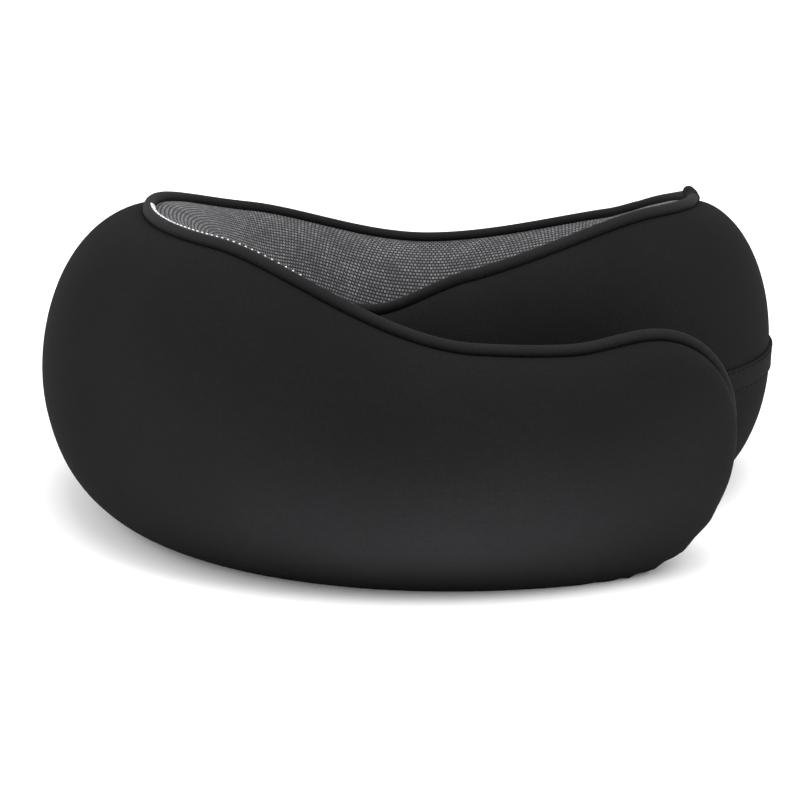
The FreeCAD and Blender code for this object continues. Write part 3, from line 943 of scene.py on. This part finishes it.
@dataclass
class Rim:
    """Piping along the crest with its filler cord, and the wrap where its ends meet."""

    half: HalfRing
    radius: float = 2.05
    cord_radius: float = 1.3
    seat: float = 1.15
    join_turn: float = 91.0
    join_length: float = 9.0
    crest_share: float = 0.86
    foot: float = 8.0
    thin_from: float = 0.93
    thin_by: float = 0.25

    def build(self) -> list[bpy.types.Object]:
        """Make the sleeve, the cord and, on the right, the wrap over the joint."""
        pieces = [self.bar("rim_piping_", self.radius, BINDING, 16),
                  self.bar("rim_cord_", self.cord_radius, COTTON, 12)]
        if self.half is RIGHT:
            pieces.append(self.join())
        return pieces

    def centre(self, share: float) -> Vector:
        """Middle of the piping at a share of its run, on over the tip and down to the seam."""
        crest = self.crest_share
        if share <= crest:
            s = self.half.run(share / crest, -self.seat)
            return self.half.place(s, 0, self.half.profile(s, -self.seat).top)
        k = math.cos((1 - (share - crest) / (1 - crest)) * math.pi / 2)
        bend = max(0.0, 1 - k ** TIP_BLUNTNESS) ** (1 / TIP_BLUNTNESS)
        s = self.half.length + (self.half.tip + self.seat) * bend
        shape = self.half.profile(s, -self.seat)
        return self.half.place(s, 0, shape.waist - (shape.waist - self.foot) * k)

    def frame_at(self, share: float) -> tuple[Vector, Vector, Vector]:
        """Middle of the piping and two directions square to its run."""
        step = 0.0015
        ahead = self.centre(min(1.0, share + step)) - self.centre(max(0.0, share - step))
        run = ahead.normalized()
        side = self.half.normal(self.half.at(self.half.run(min(1.0, share / self.crest_share)))[1])
        lift = run.cross(side).normalized()
        return self.centre(share), side, lift

    def bar(self, kind: str, radius: float, finish: Finish, sides: int) -> bpy.types.Object:
        """Round bar along the whole rim of the half.

        Args:
            kind: start of the names of the piece and of the nodes it replaces.
            radius: radius of the bar in millimetres.
            finish: what it is made of.
            sides: flats round it.

        Returns:
            The piece.
        """
        def place(share: float, turn: float) -> Vector:
            """Place a share along and a share round."""
            middle, side, lift = self.frame_at(share)
            a = 2 * math.pi * turn
            end = max(0.0, share - self.thin_from) / (1 - self.thin_from)
            thin = radius * (1 - self.thin_by * end)
            return middle + (side * math.cos(a) + lift * math.sin(a)) * (thin * MM)

        mesh = lay_grid(170, sides, place, lambda share: self.half.sign * share * 0.4,
                        self.centre(0.5))
        close_ends(mesh)
        piece = new_piece(kind + self.half.name, mesh, finish)
        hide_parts(*self.half.nodes(kind))
        self.half.flex(piece)
        return piece

    def join(self) -> bpy.types.Object:
        """Bunched wrap of binding over the place where the two ends of the piping meet."""
        middle = self.half.distance(self.join_turn)

        def place(share: float, turn: float) -> Vector:
            """Place a share along and a share round."""
            s = middle + (share - 0.5) * self.join_length
            height = self.half.profile(s, -self.seat).top
            side = self.half.normal(self.half.at(s)[1])
            a = 2 * math.pi * turn
            bulge = math.sin(math.pi * share) ** 0.5
            fold = 0.3 * math.sin(3 * a + 5 * share) + 0.28 * math.sin(9 * share * math.pi + a)
            ear = 1.1 * max(0.0, math.sin(a - 0.5)) ** 3 * math.exp(-((share - 0.45) / 0.22) ** 2)
            r = self.radius + 0.1 + (0.7 + fold + ear) * bulge
            return self.half.place(s, 0, height) + (side * math.cos(a) + Vector((0, 0, math.sin(a)))) * r * MM

        mesh = lay_grid(26, 28, place, lambda share: share * self.join_length * MM,
                        self.half.place(middle, 0, self.half.profile(middle, -self.seat).top))
        close_ends(mesh)
        piece = new_piece("piping_wrap", mesh, BINDING)
        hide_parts("piping_join")
        self.half.flex(piece)
        return piece


@dataclass
class SidePocket:
    """Stretch pocket on the outer face of the right arm, with an elastic hem on its mouth."""

    cover: Cover
    start_turn: float = 84.0
    end_turn: float = 142.0
    mouth: float = 51.0
    rise: float = 3.0
    hem: float = 9.0
    foot: float = 1.0

    def build(self) -> list[bpy.types.Object]:
        """Make the pocket panel, its hem and the hem's two rows of stitches."""
        panel = self.band("pocket_cloth", 0.0, 1.0, 0.45, 0.5, JERSEY, 30)
        hem = self.band("pocket_elastic", 1.0, 2.0, 0.95, 0.8, ELASTIC, 10)
        stitches = self.stitches()
        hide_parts("pocket_panel")
        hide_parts("pocket_hem")
        half = self.cover.half
        width = (half.distance(self.end_turn) - half.distance(self.start_turn)) * MM
        for piece in (panel, hem, stitches):
            half.flex(piece)
        return [panel, hem, stitches]

    def spot(self, share: float, level: float, stand: float) -> Vector:
        """Point over the cover: along the mouth, and 0 foot, 1 hem's lower edge, 2 mouth."""
        half = self.cover.half
        first, last = half.distance(self.start_turn), half.distance(self.end_turn)
        s = first + (last - first) * share
        shape = half.profile(s)
        mouth = self.mouth + self.rise * share
        low, high = shape.seam + self.foot, mouth - self.hem
        height = low + (high - low) * level if level <= 1 else high + self.hem * (level - 1)
        rise = shape.top - shape.waist if height > shape.waist else shape.drop
        angle = math.asin(min(1.0, max(-1.0, (height - shape.waist) / rise)))
        ends = min(1.0, min(share, 1 - share) / 0.03)
        skin = self.cover.point(s, Side.OUTER, angle)
        lean = half.normal(half.at(s)[1]) * math.cos(angle) + Vector((0, 0, math.sin(angle)))
        return skin + lean.normalized() * ((0.25 + stand * ends) * MM)

    def band(self, name: str, low: float, high: float, stand: float, thickness: float,
             finish: Finish, rows: int) -> bpy.types.Object:
        """Strip of the pocket between two levels.

        Args:
            name: name of the piece.
            low: lower level.
            high: upper level.
            stand: how far it stands off the cover, in millimetres.
            thickness: thickness of the cloth in millimetres.
            finish: its cloth.
            rows: cells up the strip.

        Returns:
            The piece.
        """
        def place(share: float, up: float) -> Vector:
            """Place on the strip, a share along and a share up."""
            level = low + (high - low) * up
            round_over = 0.0 if high <= 1 else 0.5 * (2 * up - 1) ** 6
            sag = 0.35 * math.sin(math.pi * min(1.0, level)) if high <= 1 else 0.0
            return self.spot(share, level, stand - round_over + sag)

        half = self.cover.half
        middle = half.distance((self.start_turn + self.end_turn) / 2)
        length = half.distance(self.end_turn) - half.distance(self.start_turn)
        mesh = lay_grid(110, rows, place, lambda share: share * length * MM,
                        half.heart(middle))
        piece = new_piece(name, mesh, finish)
        thicken(piece, thickness)
        return piece

    def stitches(self) -> bpy.types.Object:
        """Two rows of thread along the hem."""
        half = self.cover.half
        length = half.distance(self.end_turn) - half.distance(self.start_turn)
        spots = []
        for level in (1.12, 1.9):
            count = int(length / 2.6)
            for i in range(count):
                share = 0.02 + 0.96 * (i + 0.5) / count
                reach = 0.8 / length
                spots.append((self.spot(share - reach, level, 0.9), self.spot(share + reach, level, 0.9)))
        return thread_row("pocket_stitches", spots, 0.22, THREAD)


def thread_row(name: str, spots: Iterable[tuple[Vector, Vector]], radius: float,
               finish: Finish) -> bpy.types.Object:
    """Short bars of thread, one for each pair of ends.

    Args:
        name: name of the piece.
        spots: pairs of ends in metres.
        radius: radius of the thread in millimetres.
        finish: what it is made of.

    Returns:
        The piece.
    """
    mesh = bmesh.new()
    for first, second in spots:
        run = second - first
        made = bmesh.ops.create_cone(mesh, cap_ends=True, segments=6, radius1=radius * MM,
                                     radius2=radius * MM, depth=run.length)
        turn = run.to_track_quat("Z", "Y").to_matrix()
        bmesh.ops.rotate(mesh, verts=made["verts"], cent=(0, 0, 0), matrix=turn)
        bmesh.ops.translate(mesh, verts=made["verts"], vec=(first + second) / 2)
    return new_piece(name, mesh, finish)


@dataclass
class EdgeStitches:
    """Slanted whip stitches that hold the mesh face to the shoulder of the piping."""

    rim: Rim
    start_turn: float = 97.0
    end_turn: float = 153.0
    pitch: float = 2.7
    slant: float = 0.8
    angles: tuple[float, ...] = (84.0, 62.0, 42.0, 24.0)

    def build(self) -> list[bpy.types.Object]:
        """Make the row of stitches."""
        half = self.rim.half
        first, last = half.distance(self.start_turn), half.distance(self.end_turn)
        count = int((last - first) / self.pitch)
        spots = []
        for i in range(count):
            s = first + (i + 0.5) * self.pitch
            points = []
            for step, angle in enumerate(self.angles):
                along = s + self.slant * (step / (len(self.angles) - 1) - 0.5) * 2
                points.append(self.shoulder(along, math.radians(angle)))
            spots.extend(zip(points, points[1:]))
        # The near-white colour of these stitches is a painted highlight for the glints along the rim.
        piece = thread_row("edge_stitches_" + half.name, spots, 0.36, RIM_STITCH_PAINTED_HIGHLIGHT)
        half.flex(piece)
        return [piece]

    def shoulder(self, s: float, angle: float) -> Vector:
        """Point on the inner side of the piping, at an angle from its top."""
        half = self.rim.half
        height = half.profile(s, -self.rim.seat).top
        reach = self.rim.radius + 0.12
        return half.place(s, -reach * math.sin(angle), height + reach * math.cos(angle))


@dataclass
class ZipDressing:
    """Better finishes for the zip, whose CAD shapes stay."""

    finishes: dict[str, Finish]

    def build(self) -> list[bpy.types.Object]:
        """Give every zip node its finish."""
        dressed = []
        for node, finish in self.finishes.items():
            piece = bpy.data.objects[node]
            for slot in piece.material_slots:
                slot.material = finish.material()
            dressed.append(piece)
        return dressed


# ---------------------------------------------------------------------------
# Studio
# ---------------------------------------------------------------------------


@dataclass
class Studio:
    """Pale floor, soft lights and the camera."""

    look: Vector = field(default_factory=lambda: (RING_CENTRE + Vector((0.0, 1.0, 57.8))) * MM)
    azimuth: float = -1.0
    elevation: float = 13.4
    distance: float = 0.708
    aim_right: float = -0.0113
    aim_up: float = -0.0278
    lens: float = 86.9
    floor_reach: float = 12.0

    def build(self) -> None:
        """Set the world, floor, lights and camera."""
        bpy.context.scene.view_settings.view_transform = "Standard"
        self.world()
        self.floor()
        self.light("left", (-1.2, 0.0, 0.6), (1.2, 1.0), 10.0)
        self.light("right", (0.95, -0.5, 1.1), (1.0, 1.0), 12.0)
        self.light("top", (0.1, -0.3, 1.5), (1.0, 1.0), 13.0)
        self.light("low", (-0.01, -0.158, 0.004), (0.36, 0.04), 0.26, upwards=True)
        self.camera()

    def world(self) -> None:
        """Even white surroundings."""
        world = bpy.data.worlds.new("studio")
        world.use_nodes = True
        background = world.node_tree.nodes["Background"]
        background.inputs["Color"].default_value = (1, 1, 1, 1)
        background.inputs["Strength"].default_value = 1.1
        bpy.context.scene.world = world

    def floor(self) -> None:
        """Large pale floor."""
        mesh = bmesh.new()
        bmesh.ops.create_grid(mesh, x_segments=1, y_segments=1, size=self.floor_reach)
        data = bpy.data.meshes.new("floor")
        mesh.to_mesh(data)
        mesh.free()
        floor = bpy.data.objects.new("floor", data)
        bpy.context.scene.collection.objects.link(floor)
        material = bpy.data.materials.new("matt_white_paper")
        material.use_nodes = True
        shader = material.node_tree.nodes["Principled BSDF"]
        shader.inputs["Base Color"].default_value = linear("#f7f7f7")
        shader.inputs["Roughness"].default_value = 0.95
        shader.inputs["Specular IOR Level"].default_value = 0.1
        data.materials.append(material)

    def light(self, name: str, place: tuple[float, float, float], size: tuple[float, float],
              power: float, upwards: bool = False) -> None:
        """Add a soft light that faces the pillow or straight up.

        Args:
            name: name of the light.
            place: where it stands, in metres.
            size: width and height of its face, in metres.
            power: watts.
            upwards: whether it lies on the floor and faces up.
        """
        data = bpy.data.lights.new(name, "AREA")
        data.shape = "RECTANGLE"
        data.size, data.size_y = size
        data.energy = power
        lamp = bpy.data.objects.new(name, data)
        lamp.location = place
        lamp.visible_camera = False
        target = Vector(place) + Vector((0, 0, 1)) if upwards else self.look
        lamp.rotation_euler = (target - Vector(place)).to_track_quat("-Z", "Y").to_euler()
        bpy.context.scene.collection.objects.link(lamp)

    def camera(self) -> None:
        """Add the camera at the viewing angle."""
        a, e = math.radians(self.azimuth), math.radians(self.elevation)
        back = Vector((math.sin(a) * math.cos(e), -math.cos(a) * math.cos(e), math.sin(e)))
        right = Vector((math.cos(a), math.sin(a), 0))
        up = back.cross(right)
        place = self.look + back * self.distance
        aim = self.look + right * self.aim_right + up * self.aim_up
        data = bpy.data.cameras.new("camera")
        data.lens = self.lens
        data.sensor_width = 36.0
        camera = bpy.data.objects.new("camera", data)
        camera.location = place
        camera.rotation_euler = (aim - place).to_track_quat("-Z", "Y").to_euler()
        bpy.context.scene.collection.objects.link(camera)
        bpy.context.scene.camera = camera


def main() -> None:
    """Build every sub-assembly in order and report it."""
    logging.basicConfig(level=logging.INFO, format="%(name)s: %(message)s")
    for half in HALVES:
        swell = Swell(half)
        swell.simulate()
        cover = Cover(half, swell)
        rim = Rim(half)
        assemblies = [cover, Filling(half), rim]
        if half is RIGHT:
            assemblies.append(SidePocket(cover))
        else:
            assemblies.append(EdgeStitches(rim))
        for assembly in assemblies:
            for piece in assembly.build():
                LOG.info("%s: %d faces", piece.name, len(piece.data.polygons))
    dressing = ZipDressing({
        "zip_tape_upper": TAPE, "zip_tape_lower": TAPE,
        "zip_teeth_upper": ACETAL, "zip_teeth_lower": ACETAL,
        "zip_stop_left": ENAMEL, "zip_stop_right": ENAMEL,
        "zip_slider": ENAMEL, "zip_pull": ENAMEL,
    })
    for piece in dressing.build():
        LOG.info("%s dressed", piece.name)
    Studio().build()


if __name__ == "__main__":
    main()
